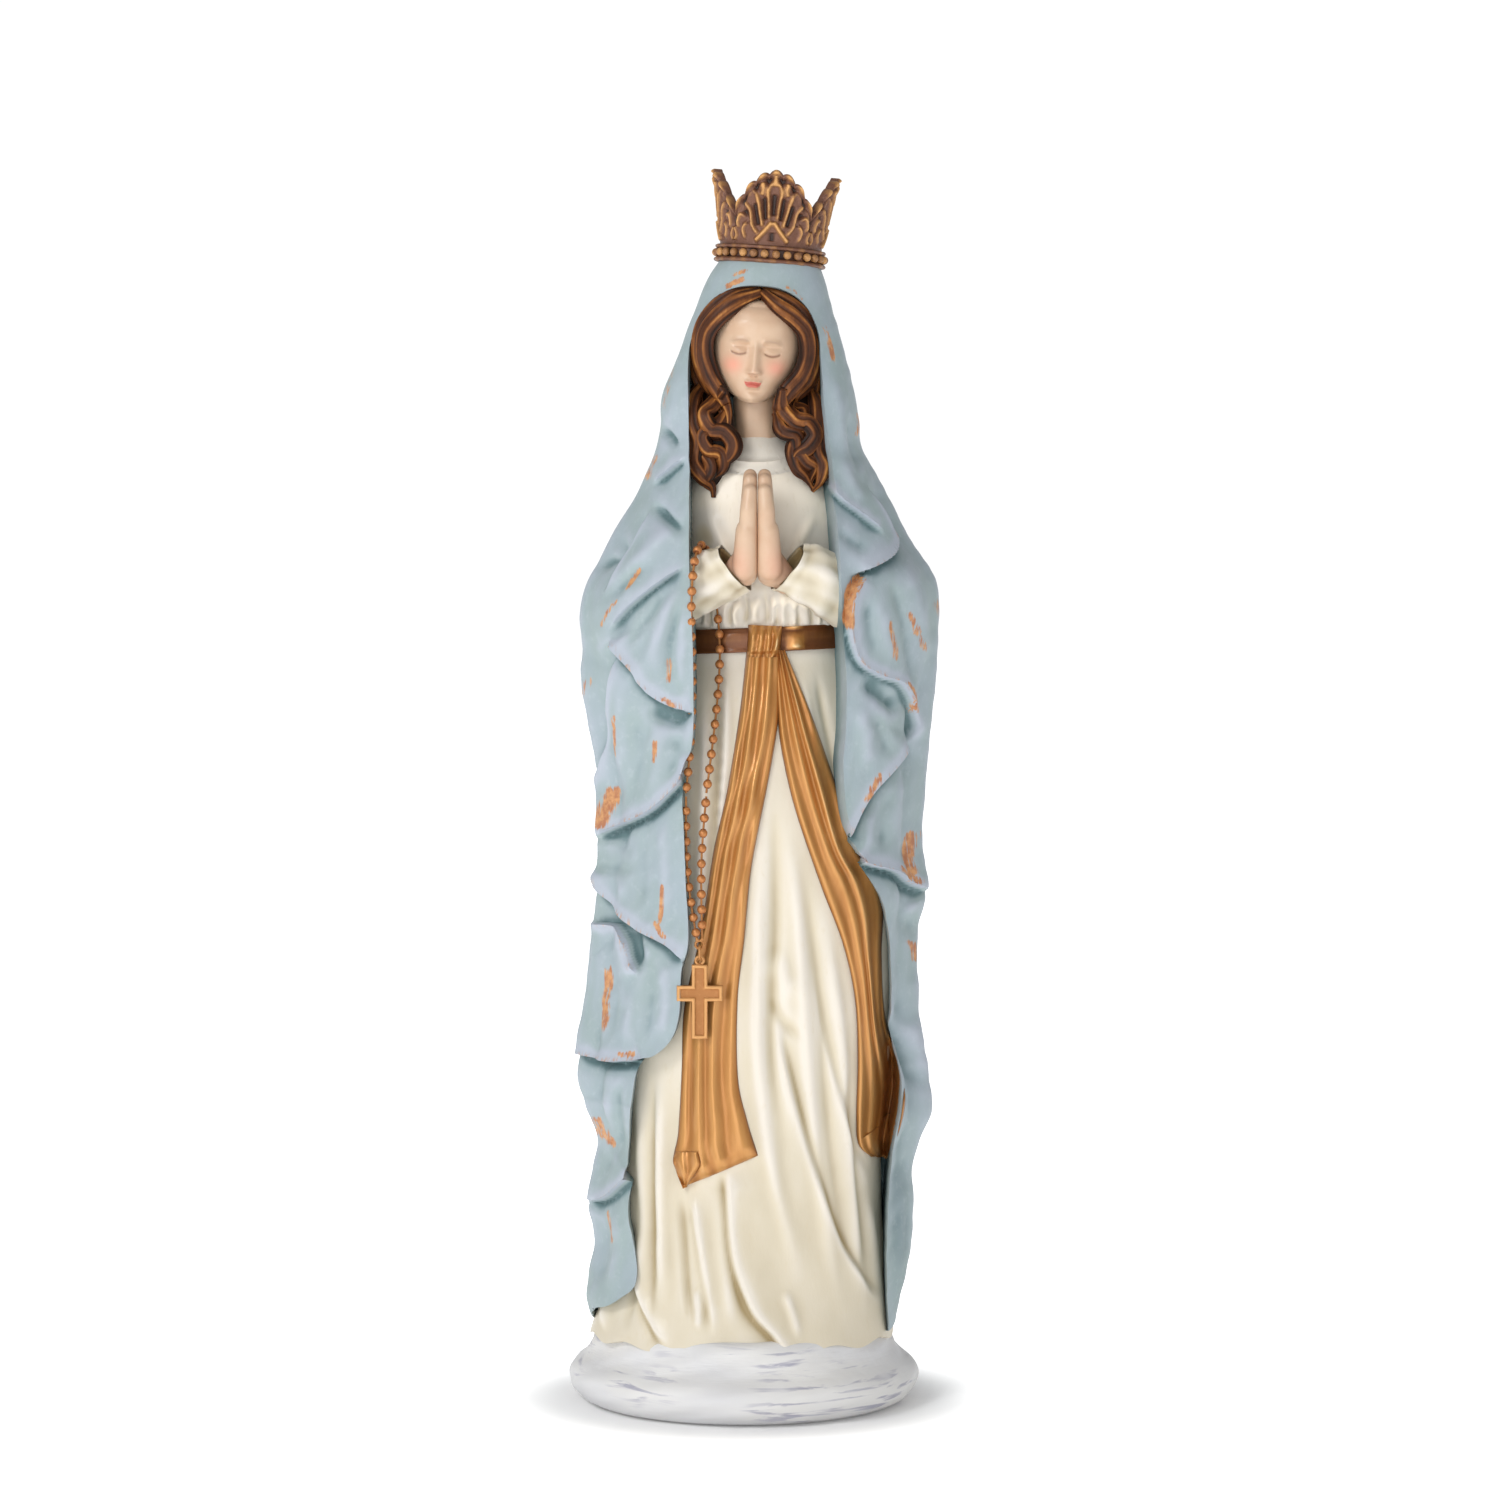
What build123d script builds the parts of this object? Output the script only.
from build123d import *
import os
from math import cos, pi, radians, sin, tan

# Crowned madonna statue with a bead rosary over the right forearm. Millimetres, +Z up, front towards -Y.
# The origin is the centre of the plinth's underside. "Right" and "left" are the figure's own.
#
# The figure is made as it is painted: plinth, gown, mantle, sash, hair, head and hands are separate
# solids that meet face to face. An upright prism with the outline of the mantle's front opening divides
# them: the mantle is everything outside it, and the gown, hair and head stand inside it, against the
# mantle's inner wall. The crown lifts off a round seat, and the rosary is a wire strung with beads.

# Driving dimensions
PLINTH_HEIGHT = 24.0
PLINTH_FOOT_RADIUS = 46.0
PLINTH_TOP_RADIUS = 45.0
FLANGE_BELLY = (53.0, 5.0)      # radius and height where the flange's rounding is fullest
FLANGE_TOP_RADIUS = 51.6
FLANGE_TOP = 12.0
SLOPE_MIDDLE = (47.2, 16.6)     # radius and height half way up the hollowed slope
WAIST_HEIGHT = 233.0
BELT_HALF_HEIGHT = 4.6
TAIL_TOP = WAIST_HEIGHT - BELT_HALF_HEIGHT
INNER_WALL_Y = -2.0             # back of the mantle's opening
OPENING_TOP = 340.5             # top of the arch round the face
FRONT_REACH = 90.0              # how far the outline prisms run forward

CROWN_TILT = 4.5                # degrees, the figure's left side lower
CROWN_CENTRE = (7.7, 0.0, 347.2)
CROWN_BAND_RADIUS = 16.4
CROWN_BAND_HEIGHT = 5.4
CROWN_WALL = 1.4
CROWN_TIP_HEIGHT = 27.6
CROWN_NOTCH_HEIGHT = 15.0       # where the crests part
CROWN_FLARE = 3.2               # how far the crests' tips stand out beyond the band
CROWN_GAP = 0.1                 # under the band
CROWN_PEARLS = 30
CROWN_PEARL_RADIUS = 1.25
CREST_HALF_FOOT = 13.4
CREST_HALF_WIDTH = 11.0
CREST_REACH = 40.0
CREST_SEAM = 0.05               # between one crest and the next, and above the band
CREST_BOTTOM = CROWN_BAND_HEIGHT + CREST_SEAM
SEAT_CLEARANCE = 0.3            # between the seat and the crown's band
SEAT_HEIGHT = 6.0
SEAT_ROUNDING = 4.0

HEAD_CENTRE = (3.6, -8.0, 322.0)
HEAD_RADIUS = 12.6
HEAD_HALF_HEIGHT = 16.0
NECK_Y = -4.0
NECK_LEVELS = [                 # height, half width, half depth
    (290.0, 8.0, 8.0),
    (302.0, 7.0, 7.2),
    (314.0, 7.4, 7.4),
]
HAIR_THICKNESS = 4.0

FOREARM_Y = -28.5               # the right forearm runs along X at this depth and height
FOREARM_Z = 252.0
SLEEVE_HALF_DEPTH = 7.0
SLEEVE_HALF_HEIGHT = 8.0
RIGHT_CUFF_X = -2.7
LEFT_CUFF_X = 12.2
PALM_X = 4.0                    # the plane where the two palms meet

SASH_THICKNESS = 2.6
BELT_THICKNESS = 2.4
KNOT_CENTRE = (6.0, -21.5, 234.0)
KNOT_SIZE = (11.4, 9.0, 11.0)

COLLAR_THICKNESS = 1.2
COLLAR_BOTTOM = 284.0
COLLAR_TOP = 292.0

BEAD_RADIUS = 1.35
BEAD_PITCH = 4.58
WIRE_RADIUS = 0.35
LINK_RADIUS = 1.2               # the chain's end link and the cross's eye
RING_RADIUS = 2.0               # the jump ring between them
DROP_Y = -33.4                  # the plane in which the cross hangs
HINGE_Z = 188.0                 # the link of the chain from which the drop swings
END_LINK_CENTRE = (-13.3, DROP_Y, 143.2)
LINK_GAP = 0.8                  # centre to centre of two wires that hang in each other
CROSS_HEIGHT = 22.6
CROSS_SPAN = 14.0
CROSS_BAR = 4.9
CROSS_ARM_DROP = 8.7            # from the cross's top to the middle of its arms
CROSS_THICKNESS = 2.2

# Cross-sections: height, centre x, centre y, half width, half depth
GOWN_LEVELS = [
    (PLINTH_HEIGHT, -0.5, 0.0, 47.0, 42.5),
    (45.0, 0.5, 0.0, 47.0, 37.0),
    (80.0, 1.5, 0.0, 46.5, 32.0),
    (120.0, 3.0, 0.0, 45.5, 30.0),
    (155.0, 3.5, 0.0, 43.0, 28.5),
    (190.0, 4.0, 0.0, 38.0, 26.0),
    (215.0, 4.5, 0.5, 31.0, 22.0),
    (WAIST_HEIGHT, 5.0, 1.0, 26.0, 19.0),
]
BODICE_LEVELS = [
    (WAIST_HEIGHT, 5.0, 1.0, 26.0, 19.0),
    (248.0, 5.0, 2.0, 26.0, 18.0),
    (266.0, 5.0, 2.0, 26.5, 19.0),
    (281.0, 4.5, 1.0, 22.0, 17.0),
    (290.0, 4.0, 0.0, 14.0, 13.5),
    (296.0, 4.0, -1.0, 8.5, 10.0),
]
MANTLE_LEVELS = [
    (26.0, 0.5, 0.0, 46.5, 41.0),
    (40.0, 0.5, 0.5, 48.3, 40.0),
    (70.0, 2.8, 1.0, 47.6, 37.5),
    (100.0, 3.4, 1.0, 52.6, 36.5),
    (140.0, 3.2, 1.0, 49.6, 35.5),
    (180.0, 5.2, 1.0, 49.4, 34.5),
    (220.0, 5.1, 1.5, 53.9, 34.5),
    (247.0, 5.2, 2.0, 54.0, 34.0),
    (262.0, 6.0, 2.0, 46.5, 31.5),
    (282.0, 5.6, 1.5, 35.6, 28.0),
    (302.0, 5.0, 1.0, 29.6, 25.0),
    (325.0, 6.0, 0.5, 22.2, 21.8),
    (347.0, 7.8, 0.0, 17.2, 17.2),
    (353.0, 8.2, 0.0, 16.2, 16.2),
]

# Edges of the mantle's opening as seen from the front, from the hem up: x, z
RIGHT_OPENING_EDGE = [
    (-44.0, 20.0), (-34.0, 47.0), (-34.6, 80.0), (-31.5, 106.0), (-22.5, 124.0), (-20.4, 152.0),
    (-21.0, 190.0), (-18.6, 218.0), (-17.6, 258.0), (-16.6, 290.0), (-15.8, 318.0),
]
LEFT_OPENING_EDGE = [
    (46.0, 20.0), (45.0, 47.0), (47.6, 78.0), (46.8, 104.0), (43.6, 136.0), (37.0, 168.0),
    (30.8, 206.0), (28.7, 258.0), (25.7, 291.0), (22.6, 320.0),
]

# Outlines of the sash's two tails as seen from the front: x, z
RIGHT_TAIL_OUTLINE = [
    (0.4, TAIL_TOP), (-6.7, 184.5), (-12.8, 144.8), (-18.3, 111.0), (-20.8, 74.5), (-17.0, 69.0),
    (4.0, 78.5), (-1.8, 108.0), (-0.6, 135.6), (6.4, 187.5), (9.8, 206.0), (10.4, TAIL_TOP),
]
LEFT_TAIL_OUTLINE = [
    (10.8, TAIL_TOP), (10.6, 204.0), (21.7, 166.0), (30.8, 129.5), (34.5, 80.6), (40.0, 74.5),
    (44.0, 74.8), (47.0, 92.8), (43.0, 117.0), (42.6, 138.0), (37.0, 162.0), (29.3, 184.5),
    (23.0, 204.0), (14.0, TAIL_TOP),
]

# Outlines of the hair's side locks as seen from the front: x, z
RIGHT_LOCK_OUTLINE = [
    (-15.6, 309.0), (-7.0, 307.0), (-3.4, 297.0), (-2.6, 290.0), (-1.6, 285.0), (-6.8, 279.0),
    (-9.0, 277.5), (-15.6, 285.0),
]
LEFT_LOCK_OUTLINE = [
    (22.0, 309.0), (14.4, 307.0), (12.4, 299.0), (16.6, 293.0), (14.2, 287.0), (18.8, 279.5),
    (23.4, 280.0), (23.8, 296.0),
]
LOCK_TOP = 309.0
LOCK_FRONT_Y = -21.5
LOCK_BACK_Y = -13.0

# Routes of the rosary's wire. The upper part runs from the drop's front strand over the forearm to its
# back strand, and each strand of the drop runs from the hinge height down to the end link.
HINGE_GAP = 0.5                 # between the two parts of the wire, each side of the hinge
UPPER_ROUTE = [
    (-17.4, -30.6, HINGE_Z + HINGE_GAP), (-15.6, -30.8, 206.0), (-15.4, -33.6, 224.0),
    (-15.8, -38.0, 243.0), (-15.2, -37.4, 256.0), (-13.6, -31.5, 263.0), (-11.6, -24.5, 262.5),
    (-9.6, -19.4, 255.0), (-8.0, -19.2, 243.0), (-7.0, -21.6, 229.0), (-8.6, -26.0, 208.6),
    (-11.3, -30.4, HINGE_Z + HINGE_GAP),
]
FRONT_STRAND_ROUTE = [
    (-17.4, -30.6, HINGE_Z - HINGE_GAP), (-17.5, -31.4, 173.5), (-16.6, -32.4, 158.5),
    (-14.1, DROP_Y, 144.8),
]
BACK_STRAND_ROUTE = [
    (-11.3, -30.4, HINGE_Z - HINGE_GAP), (-12.7, -31.4, 173.5), (-12.9, -32.6, 158.5),
    (-12.5, DROP_Y, 144.8),
]
FIRST_BEAD = 2.0                # along each strand of the drop, above the end link
BEAD_BORE_RADIUS = 0.45


# The joined hands: height, centre y, half width of both, half depth
HAND_LEVELS = [
    (246.0, -28.5, 8.6, 5.4),
    (260.0, -29.5, 7.4, 6.6),
    (272.0, -31.0, 5.6, 6.0),
    (280.0, -32.0, 4.4, 4.2),
    (283.6, -32.4, 2.4, 2.4),
]


def lofted_body(levels, grow=0.0):
    """A closed body through elliptical cross-sections, made larger all round by grow."""
    with BuildPart() as body:
        for height, centre_x, centre_y, half_width, half_depth in levels:
            with BuildSketch(Plane((centre_x, centre_y, height))):
                Ellipse(half_width + grow, half_depth + grow)
        loft()
    return body.part


def ellipsoid(centre, radius, half_height):
    """An egg about an upright axis."""
    with BuildPart() as egg:
        with BuildSketch(Plane(centre, x_dir=(1, 0, 0), z_dir=(0, -1, 0))):
            Ellipse(radius, half_height)
            split(bisect_by=Plane.YZ, keep=Keep.TOP)
        revolve(axis=Axis(centre, (0, 0, 1)))
    return egg.part


def prism_from_outline(points, back_y, front_y):
    """The closed outline x, z, extruded along Y between two depths."""
    with BuildPart() as prism:
        with BuildSketch(Plane.XZ.offset(-back_y)):
            with BuildLine():
                Polyline(*points, close=True)
            make_face()
        extrude(amount=back_y - front_y)
    return prism.part


def opening_prism():
    """The space in front of the inner wall that the mantle's front opening leaves."""
    with BuildPart() as opening:
        with BuildSketch(Plane.XZ.offset(-INNER_WALL_Y)):
            with BuildLine():
                right_edge = Spline(*RIGHT_OPENING_EDGE)
                left_edge = Spline(*LEFT_OPENING_EDGE)
                Line(right_edge @ 0, left_edge @ 0)
                ThreePointArc(right_edge @ 1, (CROWN_CENTRE[0] - 3.6, OPENING_TOP), left_edge @ 1)
            make_face()
        extrude(amount=FRONT_REACH)
    return opening.part


def tube_along(path, radius):
    """A round solid swept along a path."""
    with BuildPart() as tube:
        with BuildSketch(Plane(path @ 0, z_dir=path % 0)):
            Circle(radius)
        sweep(path=path)
    return tube.part


def wire_path(points):
    """Straight runs joined by the largest tangent arcs that the runs allow."""
    corners = [Vector(*point) for point in points]
    radii = []
    for before, corner, after in zip(corners, corners[1:], corners[2:]):
        turn = (corner - before).get_angle(after - corner)
        shorter_run = min((corner - before).length, (after - corner).length)
        radii.append(0.45 * shorter_run / tan(radians(turn / 2)))
    with BuildLine() as route:
        FilletPolyline(*points, radius=radii)
    print("wire radii", [round(radius, 1) for radius in radii])
    return route.wire()


def string_of_beads(name, points, first_bead, last_bead):
    """Writes a wire and the beads threaded on it, at an even pitch between two distances from its end."""
    path = wire_path(points)
    wire = tube_along(path, WIRE_RADIUS)
    swept_volume = pi * WIRE_RADIUS**2 * path.length
    count = int((path.length - first_bead - last_bead) / BEAD_PITCH) + 1
    places = [path @ (1 - (first_bead + i * BEAD_PITCH) / path.length) for i in range(count)]
    with BuildPart() as beads:
        with Locations(*places):
            Sphere(BEAD_RADIUS)
        add(tube_along(path, BEAD_BORE_RADIUS), mode=Mode.SUBTRACT)
    write(wire, f"rosary_{name}_wire")
    write(beads.part, f"rosary_{name}_beads")
    print(name, "length", round(path.length, 1), "volume ratio", round(wire.volume / swept_volume, 4), count)


def ring(centre, normal, radius):
    """A closed ring of the rosary's wire."""
    with BuildPart() as link:
        with Locations(Plane(centre, z_dir=normal)):
            Torus(radius, WIRE_RADIUS)
    return link.part


def write(part, name):
    """Labels one finished piece and writes its STEP file."""
    part.label = name
    export_step(part, f"parts/{name}.step")


os.makedirs("parts", exist_ok=True)

# Dividing bodies
opening = opening_prism()
gown_body = lofted_body(GOWN_LEVELS)
bodice_body = lofted_body(BODICE_LEVELS)
crown_plane = Plane(
    CROWN_CENTRE,
    x_dir=(cos(radians(CROWN_TILT)), 0, -sin(radians(CROWN_TILT))),
    z_dir=(sin(radians(CROWN_TILT)), 0, cos(radians(CROWN_TILT))),
)

# Plinth: a thick rounded flange below a hollowed slope up to the gown's hem
with BuildPart() as plinth:
    with BuildSketch(Plane.XZ):
        with BuildLine():
            foot = Line((0, 0), (PLINTH_FOOT_RADIUS, 0))
            flange = ThreePointArc(foot @ 1, FLANGE_BELLY, (FLANGE_TOP_RADIUS, FLANGE_TOP))
            slope = ThreePointArc(flange @ 1, SLOPE_MIDDLE, (PLINTH_TOP_RADIUS, PLINTH_HEIGHT))
            Line(slope @ 1, (0, PLINTH_HEIGHT))
            Line((0, PLINTH_HEIGHT), (0, 0))
        make_face()
    revolve(axis=Axis.Z)
write(plinth.part, "plinth")

# Gown: a skirt below the waist and a bodice above it
with BuildPart() as skirt:
    add(gown_body)
    add(opening, mode=Mode.INTERSECT)
write(skirt.part, "skirt")

with BuildPart() as bodice:
    add(bodice_body)
    add(opening, mode=Mode.INTERSECT)
write(bodice.part, "bodice")

# Collar: a folded band on the slope of the bodice round the neck
with BuildPart() as collar:
    add(lofted_body(BODICE_LEVELS, COLLAR_THICKNESS))
    add(bodice_body, mode=Mode.SUBTRACT)
    split(bisect_by=Plane.XY.offset(COLLAR_BOTTOM), keep=Keep.TOP)
    split(bisect_by=Plane.XY.offset(COLLAR_TOP), keep=Keep.BOTTOM)
    add(opening, mode=Mode.INTERSECT)
write(collar.part, "collar")

# Belt: a band of even thickness round the waist
with BuildPart() as belt:
    add(lofted_body(GOWN_LEVELS, BELT_THICKNESS))
    add(lofted_body(BODICE_LEVELS, BELT_THICKNESS))
    add(gown_body, mode=Mode.SUBTRACT)
    add(bodice_body, mode=Mode.SUBTRACT)
    split(bisect_by=Plane.XY.offset(TAIL_TOP), keep=Keep.TOP)
    split(bisect_by=Plane.XY.offset(WAIST_HEIGHT + BELT_HALF_HEIGHT), keep=Keep.BOTTOM)
    add(opening, mode=Mode.INTERSECT)
write(belt.part, "belt")

# Sash knot, in front of the belt
with BuildPart() as knot:
    with Locations(KNOT_CENTRE):
        Box(*KNOT_SIZE)
    fillet(knot.faces().sort_by(Axis.Y)[0].edges(), 3.0)
    add(lofted_body(GOWN_LEVELS, BELT_THICKNESS), mode=Mode.SUBTRACT)
    add(lofted_body(BODICE_LEVELS, BELT_THICKNESS), mode=Mode.SUBTRACT)
write(knot.part, "sash_knot")

# Sash tails: each is its front outline cut from a skin that lies on the gown
for name, outline in (("right", RIGHT_TAIL_OUTLINE), ("left", LEFT_TAIL_OUTLINE)):
    with BuildPart() as sash_tail:
        add(lofted_body(GOWN_LEVELS, SASH_THICKNESS))
        add(gown_body, mode=Mode.SUBTRACT)
        add(prism_from_outline(outline, INNER_WALL_Y, -FRONT_REACH), mode=Mode.INTERSECT)
        add(opening, mode=Mode.INTERSECT)
    write(sash_tail.part, f"sash_{name}_tail")

# Mantle: one cloth from the hem to the seat that the crown fits over
with BuildPart() as mantle:
    add(lofted_body(MANTLE_LEVELS))
    split(bisect_by=crown_plane, keep=Keep.BOTTOM)
    add(opening, mode=Mode.SUBTRACT)
    with BuildSketch(crown_plane):
        Circle(CROWN_BAND_RADIUS - CROWN_WALL - SEAT_CLEARANCE)
    extrude(amount=SEAT_HEIGHT)
    fillet(mantle.faces().sort_by(Axis.Z)[-1].edges(), SEAT_ROUNDING)
write(mantle.part, "mantle")

# Head and neck, inside the opening
with BuildPart() as head_and_neck:
    add(ellipsoid(HEAD_CENTRE, HEAD_RADIUS, HEAD_HALF_HEIGHT))
    for height, half_width, half_depth in NECK_LEVELS:
        with BuildSketch(Plane((HEAD_CENTRE[0], NECK_Y, height))):
            Ellipse(half_width, half_depth)
    loft()
    add(bodice_body, mode=Mode.SUBTRACT)
    add(opening, mode=Mode.INTERSECT)
write(head_and_neck.part, "head_and_neck")

# Hair: a cap with a window for the face, and a wavy lock down each side
with BuildPart() as hair_top:
    add(ellipsoid(HEAD_CENTRE, HEAD_RADIUS + HAIR_THICKNESS, HEAD_HALF_HEIGHT + HAIR_THICKNESS - 1))
    add(head_and_neck.part, mode=Mode.SUBTRACT)
    split(bisect_by=Plane.XY.offset(LOCK_TOP), keep=Keep.TOP)
    with BuildSketch(Plane.XZ.offset(-HEAD_CENTRE[1])):
        with Locations((HEAD_CENTRE[0], HEAD_CENTRE[2] - 2)):
            Ellipse(HEAD_RADIUS - 1.2, HEAD_HALF_HEIGHT - 3.4)
    extrude(amount=FRONT_REACH, mode=Mode.SUBTRACT)
    add(opening, mode=Mode.INTERSECT)
write(hair_top.part, "hair_top")

for name, outline in (("right", RIGHT_LOCK_OUTLINE), ("left", LEFT_LOCK_OUTLINE)):
    with BuildPart() as lock:
        add(prism_from_outline(outline, LOCK_BACK_Y, LOCK_FRONT_Y))
        add(bodice_body, mode=Mode.SUBTRACT)
        add(lofted_body(BODICE_LEVELS, COLLAR_THICKNESS), mode=Mode.SUBTRACT)
        add(head_and_neck.part, mode=Mode.SUBTRACT)
        add(opening, mode=Mode.INTERSECT)
    write(lock.part, f"hair_{name}_locks")

# Sleeves: each forearm's sleeve runs from the mantle's edge to the cuff at the wrist
for name, cuff_x, far_x in (("right", RIGHT_CUFF_X, -30.0), ("left", LEFT_CUFF_X, 40.0)):
    with BuildPart() as sleeve:
        with BuildSketch(Plane.YZ.offset(cuff_x)):
            with Locations((FOREARM_Y, FOREARM_Z)):
                Ellipse(SLEEVE_HALF_DEPTH, SLEEVE_HALF_HEIGHT)
        extrude(amount=far_x - cuff_x)
        add(bodice_body, mode=Mode.SUBTRACT)
        add(opening, mode=Mode.INTERSECT)
    write(sleeve.part, f"{name}_sleeve")

# Hands: palms together, each the half of one tapered body on its own side of the palms' plane
with BuildPart() as joined_hands:
    for height, depth_y, half_width, half_depth in HAND_LEVELS:
        with BuildSketch(Plane((PALM_X, depth_y, height))):
            Ellipse(half_width, half_depth)
    loft()
    split(bisect_by=Plane.YZ.offset(RIGHT_CUFF_X), keep=Keep.TOP)
    split(bisect_by=Plane.YZ.offset(LEFT_CUFF_X), keep=Keep.BOTTOM)
for name, side in (("right", Keep.BOTTOM), ("left", Keep.TOP)):
    with BuildPart() as hand:
        add(joined_hands.part)
        split(bisect_by=Plane.YZ.offset(PALM_X), keep=side)
    write(hand.part, f"{name}_hand")

# Crown: a band round the seat, a row of pearls on it, and four scalloped crests that flare outwards
with BuildPart() as crown_band:
    with BuildSketch(crown_plane.offset(CROWN_GAP)):
        Circle(CROWN_BAND_RADIUS)
        Circle(CROWN_BAND_RADIUS - CROWN_WALL, mode=Mode.SUBTRACT)
    extrude(amount=CROWN_BAND_HEIGHT - CROWN_GAP)
write(crown_band.part, "crown_band")

with BuildPart() as crown_pearls:
    with Locations(crown_plane.offset(CROWN_BAND_HEIGHT / 2)):
        with PolarLocations(CROWN_BAND_RADIUS, CROWN_PEARLS):
            Sphere(CROWN_PEARL_RADIUS)
    add(crown_band.part, mode=Mode.SUBTRACT)
write(crown_pearls.part, "crown_pearls")

for turn, name in enumerate(("front", "left", "back", "right")):
    angle = radians(90 * turn)
    sideways = crown_plane.x_dir * cos(angle) + crown_plane.y_dir * sin(angle)
    turned = Plane(CROWN_CENTRE, x_dir=sideways, z_dir=crown_plane.z_dir)
    facing = Plane(turned.origin, x_dir=turned.x_dir, z_dir=-turned.y_dir)
    tip_radius = CROWN_BAND_RADIUS + CROWN_FLARE
    with BuildPart() as crest:
        with BuildSketch(facing):
            with BuildLine():
                Polyline(
                    (CROWN_BAND_RADIUS - CROWN_WALL, CREST_BOTTOM),
                    (CROWN_BAND_RADIUS, CREST_BOTTOM),
                    (tip_radius, CROWN_TIP_HEIGHT),
                    (tip_radius - CROWN_WALL, CROWN_TIP_HEIGHT),
                    close=True,
                )
            make_face()
        revolve(axis=Axis(turned.origin, turned.z_dir))
        with BuildSketch(facing):
            with BuildLine():
                Line((-CREST_HALF_FOOT, 0), (CREST_HALF_FOOT, 0))
                Line((CREST_HALF_FOOT, 0), (CREST_HALF_FOOT, CROWN_NOTCH_HEIGHT))
                Line((CREST_HALF_FOOT, CROWN_NOTCH_HEIGHT), (CREST_HALF_WIDTH, CROWN_NOTCH_HEIGHT + 1))
                ThreePointArc(
                    (CREST_HALF_WIDTH, CROWN_NOTCH_HEIGHT + 1), (0, CROWN_TIP_HEIGHT),
                    (-CREST_HALF_WIDTH, CROWN_NOTCH_HEIGHT + 1)
                )
                Line((-CREST_HALF_WIDTH, CROWN_NOTCH_HEIGHT + 1), (-CREST_HALF_FOOT, CROWN_NOTCH_HEIGHT))
                Line((-CREST_HALF_FOOT, CROWN_NOTCH_HEIGHT), (-CREST_HALF_FOOT, 0))
            make_face()
        extrude(amount=FRONT_REACH, mode=Mode.INTERSECT)
        with BuildSketch(turned):
            with BuildLine():
                Polyline(
                    (0, -CREST_SEAM), (CREST_REACH, -CREST_REACH - CREST_SEAM),
                    (-CREST_REACH, -CREST_REACH - CREST_SEAM), close=True,
                )
            make_face()
        extrude(amount=CROWN_TIP_HEIGHT, mode=Mode.INTERSECT)
    write(crest.part, f"crown_{name}_crest")

# Rosary: the wire and its beads, the chain's end link, the jump ring, and the cross with its eye
string_of_beads("upper", UPPER_ROUTE, BEAD_PITCH / 2 - HINGE_GAP, BEAD_PITCH / 2 - HINGE_GAP)
string_of_beads("front", FRONT_STRAND_ROUTE, FIRST_BEAD, BEAD_RADIUS)
string_of_beads("back", BACK_STRAND_ROUTE, FIRST_BEAD + BEAD_PITCH / 2, BEAD_RADIUS)

link_hinge_z = END_LINK_CENTRE[2] - LINK_RADIUS
ring_centre_z = link_hinge_z + LINK_GAP - RING_RADIUS
ring_hinge_z = ring_centre_z - RING_RADIUS
eye_centre_z = ring_hinge_z + LINK_GAP - LINK_RADIUS
link_x = END_LINK_CENTRE[0]
write(ring(END_LINK_CENTRE, (0, 1, 0), LINK_RADIUS), "rosary_end_link")
write(ring((link_x, DROP_Y, ring_centre_z), (1, 0, 0), RING_RADIUS), "rosary_jump_ring")
print("hinges at z", HINGE_Z, link_hinge_z, ring_hinge_z)

cross_top = eye_centre_z - LINK_RADIUS
with BuildPart() as cross:
    with BuildSketch(Plane.XZ.offset(-DROP_Y - CROSS_THICKNESS / 2)):
        with Locations((link_x, cross_top - CROSS_HEIGHT / 2)):
            Rectangle(CROSS_BAR, CROSS_HEIGHT)
        with Locations((link_x, cross_top - CROSS_ARM_DROP)):
            Rectangle(CROSS_SPAN, CROSS_BAR)
    extrude(amount=CROSS_THICKNESS)
    chamfer(cross.faces().sort_by(Axis.Y)[0].edges(), 0.6)
    add(ring((link_x, DROP_Y, eye_centre_z), (0, 1, 0), LINK_RADIUS))
write(cross.part, "rosary_cross")
